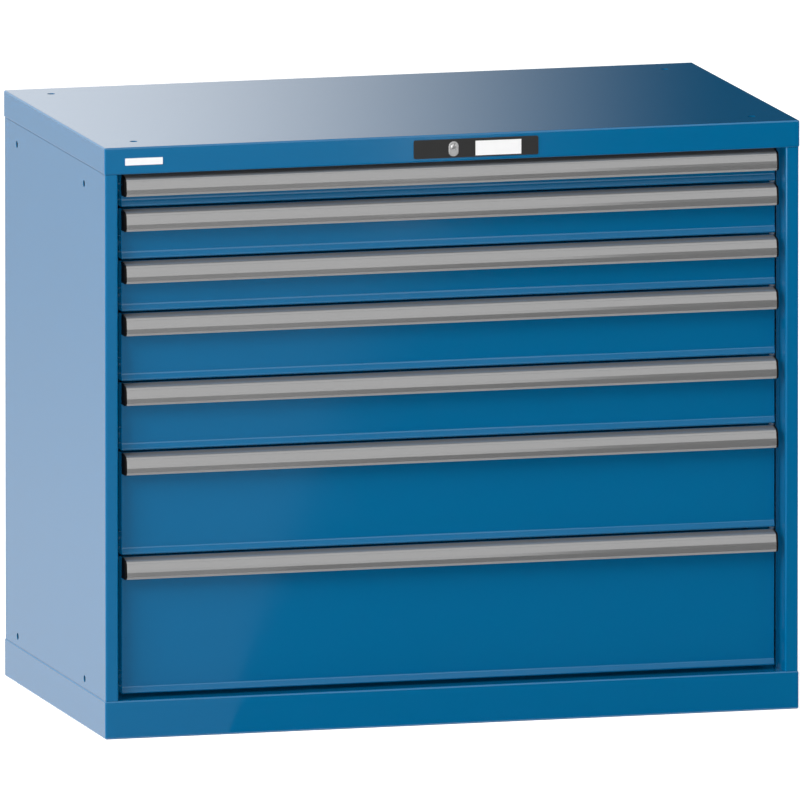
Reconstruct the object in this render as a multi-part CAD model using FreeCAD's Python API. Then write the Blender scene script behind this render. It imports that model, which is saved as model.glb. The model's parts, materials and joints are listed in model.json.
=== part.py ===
import FreeCAD, Part
import math
import os

# A steel cabinet with seven drawers, one above the other, and one lock for all of them.
# Lengths are millimetres. X runs left to right, Y front to back and Z up. The origin is on the
# floor, under the middle of the cabinet's box. A depth counts from the front face of the cover.

V = FreeCAD.Vector

# Two points nearer than this are one point, and a cutting shape runs this far past what it cuts
SAME_PLACE = 1e-6
OVERRUN = 3.0

# Housing
WIDTH = 1023.0
DEPTH = 572.0
PLINTH_HEIGHT = 55.0
COVER_HEIGHT = 39.0
SHEET = 1.5
BEND = 1.0
ROUND_END = 0.9999
PANEL_INSET = 0.9
COVER_RETURN = 12.0
PLINTH_RETURN = 20.0
POST_WIDTH = 19.1
POST_DEPTH = 37.0
POST_LIP = 4.5
REAR_FLANGE = 20.6
BACK_PANEL_GAP = 1.2

# Drawer stack: how many slot pitches high each drawer is, from the top drawer down
SLOT_PITCH = 25.0
PITCH_COUNTS = (2, 3, 3, 4, 4, 6, 8)
BASE_GAP = 5.0
TOP_GAP = 1.0

# Holes for bolting cabinets together and for what stands on top
TOP_HOLE_RADIUS = 5.5
TOP_HOLE_SIDE = 56.3
TOP_HOLE_END = 53.5
SIDE_HOLE_RADIUS = 5.0
SIDE_HOLE_FRONT = 120.0
SIDE_HOLE_REAR = 72.0
SIDE_HOLE_ABOVE_PLINTH = 13.7
SIDE_HOLE_BELOW_COVER = 29.3

# Slotted uprights
UPRIGHT_PROJECTION = 15.1
UPRIGHT_WIDTH = 30.0
UPRIGHT_BEHIND_POST = 10.0
UPRIGHT_BEFORE_BACK = 27.0
SLOT_WIDTH = 3.0
SLOT_HEIGHT = 12.0
HOOK_RISE = 3.0
HOOK_DROP = 2.0
HOOK_PLAY = 0.2

# Runners: a C-shaped rail on the cabinet, one on the drawer, and a roller on the end of each
RAIL_SHEET = 1.5
RAIL_LIFT = 8.0
CABINET_FLANGE = 12.5
DRAWER_FLANGE = 13.5
RUNNER_GAP = 5.0
ROLLER_RADIUS = 10.0
ROLLER_WIDTH = 9.0
ROLLER_INSET = 1.0
ROLLER_PLAY = 1.0
ROLLER_LOAD_GAP = 0.3
ROLLER_EDGE = 0.8
AXLE_RADIUS = 4.0
AXLE_FIT = 0.05
AXLE_SHOULDER = 1.0
AXLE_HEAD = 1.5
AXLE_HEAD_LENGTH = 1.2
AXLE_END_PLAY = 0.3
REAR_AXLE_SETBACK = 3.8
DRAWER_RAIL_FRONT = 1.2
DRAWER_RAIL_TAIL = 7.2

# Drawer front, a folded pan with a flared lower edge
FRONT_SHEET = 1.2
FRONT_FACE_DEPTH = 23.3
FRONT_PAN_DEPTH = 16.5
FRONT_PAN_LIP = 14.0
FRONT_SIDE_GAP = 10.1
FRONT_TOP_GAP = 2.0
FRONT_BOTTOM_GAP = 1.2
FLARE = 3.5
FLARE_HEIGHT = 10.0
FLARE_BEND = 6.0
FRONT_EDGE = 1.0

# Drawer tray
TRAY_SHEET = 1.0
TRAY_LIFT = 6.0
TRAY_TOP_GAP = 10.5
TRAY_REAR_GAP = 71.2
TRAY_HEM = 6.0

# Handle strip: each corner is a depth in front of the drawer face, a drop below the drawer
# front's top edge, and the radius of the corner
HANDLE_SHEET = 1.8
HANDLE_SHOULDER = (19.0, 4.2, 8.5)
HANDLE_CREASE = (20.7, 16.0, 0.0)
HANDLE_FACE_END = (21.2, 19.9, 0.5)
HANDLE_BAND_END = (21.2, 26.2, 0.5)
HANDLE_LIP = (18.6, 29.7, 0.0)
HANDLE_LEG = 20.0
CAP_THICKNESS = 2.9
CAP_TENON = 10.0
CAP_TENON_FIT = 0.2
CAP_TENON_HEIGHT = 7.0

# Lock plate, label and blank plate on the fascia, placed from the lock's axis or the cover's edge
LOCK_X = 0.5
PLATE_THICKNESS = 1.4
PLATE_LEFT = 58.5
PLATE_RIGHT = 124.6
PLATE_MARGIN_LOW = 5.6
PLATE_MARGIN_TOP = 6.8
PLATE_CORNER = 2.5
LABEL_LEFT = 32.2
LABEL_WIDTH = 67.4
LABEL_MARGIN_LOW = 1.8
LABEL_MARGIN_TOP = 3.7
LABEL_RECESS = 0.6
LABEL_THICKNESS = 0.4
LABEL_FIT = 0.3
BADGE_SIDE = 30.0
BADGE_WIDTH = 55.0
BADGE_MARGIN_LOW = 13.2
BADGE_MARGIN_TOP = 15.7
BADGE_THICKNESS = 0.8

# Lock case, plug and cam
CASE_WIDTH = 14.6
CASE_MARGIN_LOW = 1.7
CASE_MARGIN_TOP = 3.4
CASE_PROUD = 0.6
CASE_EDGE = 0.5
CASE_FIT = 0.3
CLIP_MARGIN = 3.0
CLIP_THICKNESS = 2.5
PLUG_RADIUS = 4.95
PLUG_FIT = 0.05
PLUG_TAIL = 5.0
KEYHOLE_WIDTH = 1.4
KEYHOLE_HEIGHT = 7.0
KEYHOLE_DEPTH = 12.0
CAM_RADIUS = 11.0
CAM_THICKNESS = 3.0
CAM_SCREW_RADIUS = 3.5
CAM_SCREW_HEAD = 2.0
CRANK_RADIUS = 8.0
CRANK_START = 45.0
LOCK_PIN_RADIUS = 2.5
LOCK_PIN_FIT = 0.35
LOCK_PIN_END = 1.0

# Link and bar that carry the lock's motion to the drawers
LINK_THICKNESS = 3.0
LINK_HEIGHT = 10.0
LINK_ABOVE_COVER_EDGE = 6.5
LINK_WALL = 4.15
LINK_BEHIND_CAM = 3.5
BAR_THICKNESS = 3.5
BAR_WIDTH = 7.7
BAR_POST_GAP = 5.5
BAR_BEHIND_FRONT = 2.2
BAR_BEHIND_LINK = 1.5
BAR_TOP_MARGIN = 5.0
BAR_FOOT_GAP = 4.0
FINGER_HEIGHT = 6.0
FINGER_GAP = 2.9
CATCH_LAP = 4.0
CATCH_GAP = 0.5
CATCH_RISE = 2.5
CATCH_THICKNESS = 2.5
CATCH_LENGTH = 10.5
CATCH_TOP_GAP = 1.1
CATCH_ROLLER_GAP = 0.5
GUIDE_PLAY = 0.3
GUIDE_WALL = 1.3
GUIDE_SIDE_WALL = 2.0
GUIDE_HEIGHT = 14.0
GUIDE_ABOVE_RAIL = 2.0
GUIDE_FRONT_GAP = 0.6
HANGER_PLACES = (120.0, 360.0)
HANGER_WIDTH = 12.0
HANGER_SHEET = 1.5
HANGER_PLAY = 0.4
HANGER_FLANGE = 10.0

# Widths that follow from these, as distances from the middle
HALF = WIDTH / 2
WALL_OUT = HALF - PANEL_INSET
WALL_IN = WALL_OUT - SHEET
POST_IN = WALL_OUT - POST_WIDTH
UPRIGHT_FACE = WALL_IN - UPRIGHT_PROJECTION
CABINET_WEB = UPRIGHT_FACE - RAIL_SHEET
CABINET_FLANGE_EDGE = CABINET_WEB - CABINET_FLANGE
DRAWER_FLANGE_EDGE = CABINET_FLANGE_EDGE - RUNNER_GAP
DRAWER_WEB = DRAWER_FLANGE_EDGE - DRAWER_FLANGE
TRAY_HALF = DRAWER_WEB - RAIL_SHEET
FRONT_HALF = POST_IN - FRONT_SIDE_GAP
HANDLE_HALF = FRONT_HALF - CAP_THICKNESS

# Heights that follow
BOTTOM_LINE = PLINTH_HEIGHT + BASE_GAP
COVER_BOTTOM = BOTTOM_LINE + SLOT_PITCH * sum(PITCH_COUNTS) + TOP_GAP
HEIGHT = COVER_BOTTOM + COVER_HEIGHT
COVER_INSIDE = HEIGHT - SHEET
RAIL_INSIDE = 2 * ROLLER_RADIUS + ROLLER_PLAY
RAIL_HEIGHT = RAIL_INSIDE + 2 * RAIL_SHEET
AXLE_LIFT = RAIL_LIFT + RAIL_SHEET + ROLLER_LOAD_GAP + ROLLER_RADIUS
DRAWER_RAIL_ROOF = AXLE_LIFT + ROLLER_RADIUS + ROLLER_LOAD_GAP
DRAWER_RAIL_FLOOR = DRAWER_RAIL_ROOF - RAIL_INSIDE
PLATE_BOTTOM = COVER_BOTTOM + PLATE_MARGIN_LOW
PLATE_TOP = HEIGHT - PLATE_MARGIN_TOP
CASE_BOTTOM = PLATE_BOTTOM + CASE_MARGIN_LOW
CASE_TOP = PLATE_TOP - CASE_MARGIN_TOP
LOCK_Z = CASE_TOP - CASE_WIDTH / 2

# Depths that follow. The bar runs just behind the drawer fronts, and the lock reaches back to it.
PAN_BACK = FRONT_FACE_DEPTH + FRONT_PAN_DEPTH
TRAY_BACK = DEPTH - TRAY_REAR_GAP
BAR_FRONT = PAN_BACK + BAR_BEHIND_FRONT
BAR_BACK = BAR_FRONT + BAR_THICKNESS
LINK_BACK = BAR_FRONT - BAR_BEHIND_LINK
LINK_FRONT = LINK_BACK - LINK_THICKNESS
CAM_BACK = LINK_FRONT - LINK_BEHIND_CAM
CAM_FRONT = CAM_BACK - CAM_THICKNESS
CASE_BACK = CAM_FRONT - PLUG_TAIL
CASE_FACE = -PLATE_THICKNESS - CASE_PROUD
CATCH_FRONT = BAR_BACK + CATCH_GAP
CATCH_BACK = CATCH_FRONT + CATCH_THICKNESS
FRONT_AXLE = CATCH_BACK + CATCH_ROLLER_GAP + ROLLER_RADIUS
REAR_AXLE = TRAY_BACK - REAR_AXLE_SETBACK
DRAWER_RAIL_START = PAN_BACK + DRAWER_RAIL_FRONT
UPRIGHT_FRONT = POST_DEPTH + UPRIGHT_BEHIND_POST
UPRIGHT_BACK = DEPTH - UPRIGHT_BEFORE_BACK

# The lock stands proud of the cover, so the middle of the box lies a little forward
FRONT_Y = -(DEPTH + CASE_FACE) / 2

# Places that the lock's cam, link and bar share. The crank pin starts to the left of the lowest
# point of its circle and ends as far to the right, and the bar rises as far as the link slides.
CRANK_X = -CRANK_RADIUS * math.sin(math.radians(CRANK_START))
CRANK_Z = -CRANK_RADIUS * math.cos(math.radians(CRANK_START))
LOCK_TRAVEL = -2 * CRANK_X
LINK_BOTTOM = COVER_BOTTOM + LINK_ABOVE_COVER_EDGE
LINK_TOP = LINK_BOTTOM + LINK_HEIGHT
BAR_OUT = POST_IN - BAR_POST_GAP
BAR_IN = BAR_OUT - BAR_WIDTH
BAR_PIN_X = (BAR_IN + BAR_OUT) / 2
BAR_PIN_Z = (LINK_BOTTOM + LINK_TOP) / 2
PIN_ROOM = LOCK_PIN_RADIUS + LOCK_PIN_FIT


def side_plane(x):
    """Places an outline of depths and heights on the plane at x."""
    return lambda p: V(x, FRONT_Y + p.x, p.y)


def plan_plane(z):
    """Places an outline of widths and depths on the plane at height z."""
    return lambda p: V(p.x, FRONT_Y + p.y, z)


def front_plane(d):
    """Places an outline of widths and heights on the plane at depth d."""
    return lambda p: V(p.x, FRONT_Y + d, p.y)


def closed_wire(outline, place):
    """A closed wire through corners (u, v) or (u, v, radius), each rounded to its radius."""
    ends = []
    for i, corner in enumerate(outline):
        here = V(corner[0], corner[1], 0)
        before = V(outline[i - 1][0], outline[i - 1][1], 0)
        after = V(outline[(i + 1) % len(outline)][0], outline[(i + 1) % len(outline)][1], 0)
        radius = corner[2] if len(corner) > 2 else 0
        if radius:
            back = (before - here).normalize()
            ahead = (after - here).normalize()
            half_angle = back.getAngle(ahead) / 2
            reach = radius / math.tan(half_angle)
            middle = here + (back + ahead).normalize() * (radius / math.sin(half_angle) - radius)
            ends.append((here + back * reach, middle, here + ahead * reach))
        else:
            ends.append((here, None, here))
    edges = []
    for i, (start, middle, stop) in enumerate(ends):
        if middle:
            edges.append(Part.Arc(place(start), place(middle), place(stop)).toShape())
        following = ends[(i + 1) % len(ends)][0]
        if stop.distanceToPoint(following) > SAME_PLACE:
            edges.append(Part.makeLine(place(stop), place(following)))
    return Part.Wire(edges)


def along_x(outline, x0, x1):
    """Solid from an outline of (depth, height) corners, between two widths."""
    return Part.Face(closed_wire(outline, side_plane(x0))).extrude(V(x1 - x0, 0, 0))


def along_y(outline, d0, d1):
    """Solid from an outline of (width, height) corners, between two depths."""
    return Part.Face(closed_wire(outline, front_plane(d0))).extrude(V(0, d1 - d0, 0))


def along_z(outline, z0, z1):
    """Solid from an outline of (width, depth) corners, between two heights."""
    return Part.Face(closed_wire(outline, plan_plane(z0))).extrude(V(0, 0, z1 - z0))


def strip(path, thickness):
    """Outline of a sheet whose one skin follows a path; its thickness lies to the path's right."""
    points = [V(corner[0], corner[1], 0) for corner in path]
    runs = [(stop - start).normalize() for start, stop in zip(points, points[1:])]
    near = []
    far = []
    for corner, here, before, after in zip(path, points, runs[:1] + runs, runs + runs[-1:]):
        radius = corner[2] if len(corner) > 2 else 0
        side_before = V(before.y, -before.x, 0)
        side_after = V(after.y, -after.x, 0)
        reach = (side_before + side_after) * (thickness / (1 + side_before.dot(side_after)))
        grows = before.cross(after).z > 0
        far_radius = radius + thickness if grows else max(radius - thickness, 0)
        near.append((here.x, here.y, radius))
        far.append((here.x + reach.x, here.y + reach.y, far_radius if radius else 0))
    return near + far[::-1]


def block(x0, x1, d0, d1, z0, z1):
    """Box between two widths, two depths and two heights."""
    return Part.makeBox(x1 - x0, d1 - d0, z1 - z0, V(x0, FRONT_Y + d0, z0))


def soft_block(x0, x1, d0, d1, z0, z1, radius):
    """Box with all its edges rounded."""
    box = block(x0, x1, d0, d1, z0, z1)
    return box.makeFillet(radius, box.Edges)


def rod_x(x0, x1, d, z, radius):
    """Cylinder along X."""
    return Part.makeCylinder(radius, x1 - x0, V(x0, FRONT_Y + d, z), V(1, 0, 0))


def rod_y(x, d0, d1, z, radius):
    """Cylinder along Y."""
    return Part.makeCylinder(radius, d1 - d0, V(x, FRONT_Y + d0, z), V(0, 1, 0))


def rod_z(x, d, z0, z1, radius):
    """Cylinder along Z."""
    return Part.makeCylinder(radius, z1 - z0, V(x, FRONT_Y + d, z0), V(0, 0, 1))


def rectangle(u0, u1, v0, v1, radius=0):
    """Corners of a rectangle, rounded if it has a radius."""
    return [(u0, v0, radius), (u1, v0, radius), (u1, v1, radius), (u0, v1, radius)]


def mirrored(shape):
    """The left-hand copy of a right-hand piece."""
    return shape.mirror(V(0, 0, 0), V(1, 0, 0))


def joined(shapes):
    """Several shapes fused into one solid."""
    return shapes[0].multiFuse(shapes[1:]).removeSplitter()


def folded_box(x0, x1, d0, d1, z0, z1, lip):
    """Sheet box that is open below, with a lip turned in round its opening."""
    outer = soft_block(x0, x1, d0, d1, z0, z1, BEND + SHEET)
    inner = soft_block(x0 + SHEET, x1 - SHEET, d0 + SHEET, d1 - SHEET, z0 + SHEET, z1 - SHEET, BEND)
    mouth = block(x0 + lip, x1 - lip, d0 + lip, d1 - lip, z0 - OVERRUN, z0 + SHEET + OVERRUN)
    return outer.cut(inner).cut(mouth)


def stadium(z0, z1, margin=0):
    """Outline of the lock case between two heights, enlarged by a margin; its ends are round."""
    half = CASE_WIDTH / 2 + margin
    nearly_round = half * ROUND_END
    return rectangle(LOCK_X - half, LOCK_X + half, z0 - margin, z1 + margin, nearly_round)


def top_cover():
    """Folded lid with a hole near each corner and the lock's hole in its fascia."""
    cover = folded_box(-HALF, HALF, 0, DEPTH, COVER_BOTTOM, HEIGHT, COVER_RETURN)
    for x in (TOP_HOLE_SIDE - HALF, HALF - TOP_HOLE_SIDE):
        for d in (TOP_HOLE_END, DEPTH - TOP_HOLE_END):
            cover = cover.cut(rod_z(x, d, COVER_INSIDE - OVERRUN, HEIGHT + OVERRUN, TOP_HOLE_RADIUS))
    lock_hole = along_y(stadium(CASE_BOTTOM, CASE_TOP, CASE_FIT), -OVERRUN, SHEET + OVERRUN)
    return cover.cut(lock_hole)


def base_plinth():
    """Tray upside down, whose turned-in edge rests on the floor."""
    return folded_box(-HALF, HALF, 0, DEPTH, 0, PLINTH_HEIGHT, PLINTH_RETURN)


def side_panel():
    """Right-hand side: rear flange, wall, front post with its return and lip, and four holes."""
    fold = BEND + SHEET
    path = [(WALL_OUT - REAR_FLANGE, DEPTH - PANEL_INSET), (WALL_OUT, DEPTH - PANEL_INSET, fold),
            (WALL_OUT, PANEL_INSET, fold), (POST_IN, PANEL_INSET, fold),
            (POST_IN, POST_DEPTH - SHEET, BEND), (POST_IN - POST_LIP, POST_DEPTH - SHEET)]
    panel = along_z(strip(path, SHEET), PLINTH_HEIGHT, COVER_BOTTOM)
    for d in (SIDE_HOLE_FRONT, DEPTH - SIDE_HOLE_REAR):
        for z in (PLINTH_HEIGHT + SIDE_HOLE_ABOVE_PLINTH, COVER_BOTTOM - SIDE_HOLE_BELOW_COVER):
            panel = panel.cut(rod_x(WALL_IN - OVERRUN, WALL_OUT + OVERRUN, d, z, SIDE_HOLE_RADIUS))
    return panel


def back_panel():
    """Flat sheet that lies against the side panels' rear flanges from inside."""
    face = DEPTH - PANEL_INSET - SHEET
    half = WALL_IN - BACK_PANEL_GAP
    return block(-half, half, face - SHEET, face, PLINTH_HEIGHT, COVER_BOTTOM)


def slot_bottom(line):
    """Lower edge of the upright's slot that serves the drawer on a pitch line."""
    return line + AXLE_LIFT - SLOT_HEIGHT / 2


def upright_channel(d0):
    """Right-hand slotted channel whose web faces the drawers."""
    d1 = d0 + UPRIGHT_WIDTH
    fold = BEND + SHEET
    path = [(WALL_IN, d0), (UPRIGHT_FACE, d0, fold), (UPRIGHT_FACE, d1, fold), (WALL_IN, d1)]
    channel = along_z(strip(path, SHEET), PLINTH_HEIGHT, COVER_BOTTOM)
    middle = (d0 + d1) / 2
    bottoms = [slot_bottom(BOTTOM_LINE + SLOT_PITCH * i) for i in range(sum(PITCH_COUNTS) - 1)]
    slots = [block(UPRIGHT_FACE - OVERRUN, UPRIGHT_FACE + SHEET + OVERRUN,
                   middle - SLOT_WIDTH / 2, middle + SLOT_WIDTH / 2, z, z + SLOT_HEIGHT)
             for z in bottoms]
    return channel.cut(Part.makeCompound(slots))


def uprights():
    """The right-hand pair, front and rear."""
    return [upright_channel(UPRIGHT_FRONT), upright_channel(UPRIGHT_BACK - UPRIGHT_WIDTH)]


def hook(d, line):
    """Tab through an upright's slot, with a nose that hangs down behind the upright's web."""
    low = slot_bottom(line)
    top = low + SLOT_HEIGHT - HOOK_RISE
    behind = UPRIGHT_FACE + SHEET + HOOK_PLAY
    half = RAIL_SHEET / 2
    tab = block(CABINET_WEB, behind, d - half, d + half, low, top)
    nose = block(behind, behind + RAIL_SHEET, d - half, d + half, low - HOOK_DROP, top)
    return [tab, nose]


def stepped_axle(web, near, far, d, z):
    """Axle that stands on a web: a shoulder, a journal for a roller from near to far, and a head."""
    way = 1 if far > web else -1
    shoulder_end = near - way * AXLE_END_PLAY
    head_start = far + way * AXLE_END_PLAY
    head_end = head_start + way * AXLE_HEAD_LENGTH
    steps = [(web, shoulder_end, AXLE_RADIUS + AXLE_SHOULDER),
             (shoulder_end, head_start, AXLE_RADIUS),
             (head_start, head_end, AXLE_RADIUS + AXLE_HEAD)]
    return joined([rod_x(min(a, b), max(a, b), d, z, radius) for a, b, radius in steps])


def roller(near, far, d, z):
    """Roller with softened rims and a bore for its axle."""
    low = min(near, far)
    high = max(near, far)
    body = rod_x(low, high, d, z, ROLLER_RADIUS)
    rims = [edge for edge in body.Edges if edge.Curve.TypeId == "Part::GeomCircle"]
    bore = rod_x(low - OVERRUN, high + OVERRUN, d, z, AXLE_RADIUS + AXLE_FIT)
    return body.makeFillet(ROLLER_EDGE, rims).cut(bore)


def front_roller_place():
    """Near and far face of the right-hand roller that the cabinet rail carries."""
    near = DRAWER_FLANGE_EDGE - ROLLER_INSET
    return near, near - ROLLER_WIDTH


def rear_roller_place():
    """Near and far face of the right-hand roller that the drawer rail carries."""
    near = CABINET_FLANGE_EDGE + ROLLER_INSET
    return near, near + ROLLER_WIDTH


def cabinet_rail(line):
    """Right-hand C-shaped rail, open towards the drawer, hooked into both uprights."""
    fold = BEND + RAIL_SHEET
    low = line + RAIL_LIFT
    high = low + RAIL_HEIGHT
    path = [(CABINET_FLANGE_EDGE, high), (UPRIGHT_FACE, high, fold),
            (UPRIGHT_FACE, low, fold), (CABINET_FLANGE_EDGE, low)]
    rail = along_y(strip(path, RAIL_SHEET), UPRIGHT_FRONT, UPRIGHT_BACK)
    half = UPRIGHT_WIDTH / 2
    hooks = hook(UPRIGHT_FRONT + half, line) + hook(UPRIGHT_BACK - half, line)
    near, far = front_roller_place()
    return [joined([rail] + hooks), stepped_axle(CABINET_WEB, near, far, FRONT_AXLE, line + AXLE_LIFT)]


def drawer_rail(line, with_catch):
    """Right-hand C-shaped rail, open towards the cabinet; one side carries the lock's catch."""
    fold = BEND + RAIL_SHEET
    low = line + DRAWER_RAIL_FLOOR - RAIL_SHEET
    high = low + RAIL_HEIGHT
    path = [(DRAWER_FLANGE_EDGE, low), (TRAY_HALF, low, fold),
            (TRAY_HALF, high, fold), (DRAWER_FLANGE_EDGE, high)]
    rail = along_y(strip(path, RAIL_SHEET), DRAWER_RAIL_START, TRAY_BACK + DRAWER_RAIL_TAIL)
    if with_catch:
        catch = block(DRAWER_WEB - RAIL_SHEET / 2, DRAWER_WEB + CATCH_LENGTH, CATCH_FRONT, CATCH_BACK,
                      finger_bottom(line) + FINGER_HEIGHT + CATCH_RISE,
                      line + DRAWER_RAIL_ROOF - CATCH_TOP_GAP)
        rail = joined([rail, catch])
    near, far = rear_roller_place()
    return [rail, stepped_axle(DRAWER_WEB, near, far, REAR_AXLE, line + AXLE_LIFT)]


def tray(bottom, top):
    """Folded sheet tray, open above, with a hem round the tops of its sides and back."""
    fold = BEND + TRAY_SHEET
    floor = bottom + TRAY_LIFT
    rim = top - TRAY_TOP_GAP
    over = rim + fold + OVERRUN
    inner_half = TRAY_HALF - TRAY_SHEET
    hem_half = TRAY_HALF + TRAY_SHEET
    outer = soft_block(-TRAY_HALF, TRAY_HALF, PAN_BACK, TRAY_BACK, floor, over, fold)
    inner = soft_block(-inner_half, inner_half, PAN_BACK + TRAY_SHEET, TRAY_BACK - TRAY_SHEET,
                       floor + TRAY_SHEET, over, BEND)
    above = block(-HALF, HALF, 0, DEPTH, rim, over + OVERRUN)
    hem = block(-hem_half, hem_half, DRAWER_RAIL_START, TRAY_BACK + TRAY_SHEET, rim - TRAY_HEM, rim)
    hollow = block(-inner_half, inner_half, 0, TRAY_BACK - TRAY_SHEET,
                   rim - TRAY_HEM - OVERRUN, rim + OVERRUN)
    return joined([outer.cut(inner).cut(above), hem.cut(hollow)])


def drawer_tray(bottom, top):
    """Tray with a rail and a rear axle on each side, and the lock's catch on the right."""
    right = drawer_rail(bottom, True)
    left = [mirrored(shape) for shape in drawer_rail(bottom, False)]
    return [tray(bottom, top)] + right + left


def drawer_front(bottom, top):
    """Folded pan whose lips lie on the tray's front wall; its lower edge flares forward."""
    low = bottom + FRONT_BOTTOM_GAP
    high = top - FRONT_TOP_GAP
    fold = BEND + FRONT_SHEET
    path = [(PAN_BACK, low + FRONT_PAN_LIP), (PAN_BACK, low, fold),
            (FRONT_FACE_DEPTH - FLARE, low, fold),
            (FRONT_FACE_DEPTH, low + FLARE_HEIGHT, FLARE_BEND),
            (FRONT_FACE_DEPTH, high, fold), (PAN_BACK, high, fold),
            (PAN_BACK, high - FRONT_PAN_LIP)]
    skin = along_x(strip(path, FRONT_SHEET), -FRONT_HALF, FRONT_HALF)
    right_end = along_x(path, FRONT_HALF - FRONT_SHEET, FRONT_HALF)
    pan = joined([skin, right_end, mirrored(right_end)])
    rims = [edge for edge in pan.Edges if is_front_rim(edge)]
    return pan.makeFillet(FRONT_EDGE, rims)


def is_front_rim(edge):
    """True for the edges round the face of a drawer front, at either end of it."""
    box = edge.BoundBox
    at_end = box.XLength < SAME_PLACE and abs(abs(box.XMin) - FRONT_HALF) < SAME_PLACE
    on_face = box.YMax < FRONT_Y + FRONT_FACE_DEPTH + SAME_PLACE
    return at_end and on_face


def handle_path(top):
    """Outer skin of the handle from its lower lip over the shoulder to the drawer's face."""
    edge = top - FRONT_TOP_GAP
    corners = (HANDLE_LIP, HANDLE_BAND_END, HANDLE_FACE_END, HANDLE_CREASE, HANDLE_SHOULDER)
    skin = [(FRONT_FACE_DEPTH - reach, edge - drop, radius) for reach, drop, radius in corners]
    return skin + [(FRONT_FACE_DEPTH, edge)]


def handle(top):
    """Extruded strip over the drawer's width, with a leg on the drawer's face and open below."""
    leg_end = (FRONT_FACE_DEPTH, top - FRONT_TOP_GAP - HANDLE_LEG)
    outline = strip(handle_path(top) + [leg_end], HANDLE_SHEET)
    return along_x(outline, -HANDLE_HALF, HANDLE_HALF)


def end_cap(top):
    """Right-hand plate that closes the handle's end, with a tenon inside the strip."""
    skin = handle_path(top)
    plate = along_x(skin + [(FRONT_FACE_DEPTH, skin[0][1])], HANDLE_HALF, FRONT_HALF)
    reach, drop, radius = HANDLE_SHOULDER
    inset = HANDLE_SHEET + CAP_TENON_FIT
    tenon_top = top - FRONT_TOP_GAP - drop - inset
    tenon = block(HANDLE_HALF - CAP_TENON, HANDLE_HALF + CAP_THICKNESS / 2,
                  FRONT_FACE_DEPTH - reach + radius, FRONT_FACE_DEPTH - inset,
                  tenon_top - CAP_TENON_HEIGHT, tenon_top)
    return joined([plate, tenon])


def lock_escutcheon():
    """Plate on the fascia with the lock's hole and a shallow recess for the label."""
    left = LOCK_X - PLATE_LEFT
    outline = rectangle(left, LOCK_X + PLATE_RIGHT, PLATE_BOTTOM, PLATE_TOP, PLATE_CORNER)
    plate = along_y(outline, -PLATE_THICKNESS, 0)
    hole = along_y(stadium(CASE_BOTTOM, CASE_TOP, CASE_FIT), -PLATE_THICKNESS - OVERRUN, OVERRUN)
    x, z0, z1 = label_place()
    recess = block(x - LABEL_FIT, x + LABEL_WIDTH + LABEL_FIT, -PLATE_THICKNESS - OVERRUN,
                   LABEL_RECESS - PLATE_THICKNESS, z0 - LABEL_FIT, z1 + LABEL_FIT)
    return plate.cut(hole).cut(recess)


def label_place():
    """Left edge, lower edge and upper edge of the label card."""
    return LOCK_X + LABEL_LEFT, PLATE_BOTTOM + LABEL_MARGIN_LOW, PLATE_TOP - LABEL_MARGIN_TOP


def label_card():
    """Card that lies on the floor of the plate's recess."""
    x, z0, z1 = label_place()
    floor = LABEL_RECESS - PLATE_THICKNESS
    return block(x, x + LABEL_WIDTH, floor - LABEL_THICKNESS, floor, z0, z1)


def badge_plate():
    """Small blank plate near the fascia's left end."""
    x = BADGE_SIDE - HALF
    return block(x, x + BADGE_WIDTH, -BADGE_THICKNESS, 0,
                 COVER_BOTTOM + BADGE_MARGIN_LOW, HEIGHT - BADGE_MARGIN_TOP)


def lock_body():
    """Case of the lock, held by a clip behind the fascia, with a bore for the plug."""
    case = along_y(stadium(CASE_BOTTOM, CASE_TOP), CASE_FACE, CASE_BACK)
    face_edges = [edge for edge in case.Edges
                  if edge.BoundBox.YMax < FRONT_Y + CASE_FACE + SAME_PLACE]
    case = case.makeFillet(CASE_EDGE, face_edges)
    clip = along_y(stadium(CASE_BOTTOM, CASE_TOP, CLIP_MARGIN), SHEET, SHEET + CLIP_THICKNESS)
    bore = rod_y(LOCK_X, CASE_FACE - OVERRUN, CASE_BACK + OVERRUN, LOCK_Z, PLUG_RADIUS + PLUG_FIT)
    return joined([case, clip]).cut(bore)


def lock_cylinder():
    """Plug with a keyhole in its face."""
    plug = rod_y(LOCK_X, CASE_FACE, CAM_FRONT, LOCK_Z, PLUG_RADIUS)
    keyhole = block(LOCK_X - KEYHOLE_WIDTH / 2, LOCK_X + KEYHOLE_WIDTH / 2,
                    CASE_FACE - OVERRUN, CASE_FACE + KEYHOLE_DEPTH,
                    LOCK_Z - KEYHOLE_HEIGHT / 2, LOCK_Z + KEYHOLE_HEIGHT / 2)
    return plug.cut(keyhole)


def lock_cam():
    """Disc on the plug's end with a crank pin, and the screw that holds it."""
    disc = rod_y(LOCK_X, CAM_FRONT, CAM_BACK, LOCK_Z, CAM_RADIUS)
    pin = rod_y(LOCK_X + CRANK_X, CAM_FRONT, LINK_BACK + LOCK_PIN_END, LOCK_Z + CRANK_Z,
                LOCK_PIN_RADIUS)
    screw = rod_y(LOCK_X, CAM_BACK, CAM_BACK + CAM_SCREW_HEAD, LOCK_Z, CAM_SCREW_RADIUS)
    return [joined([disc, pin]), screw]


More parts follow.
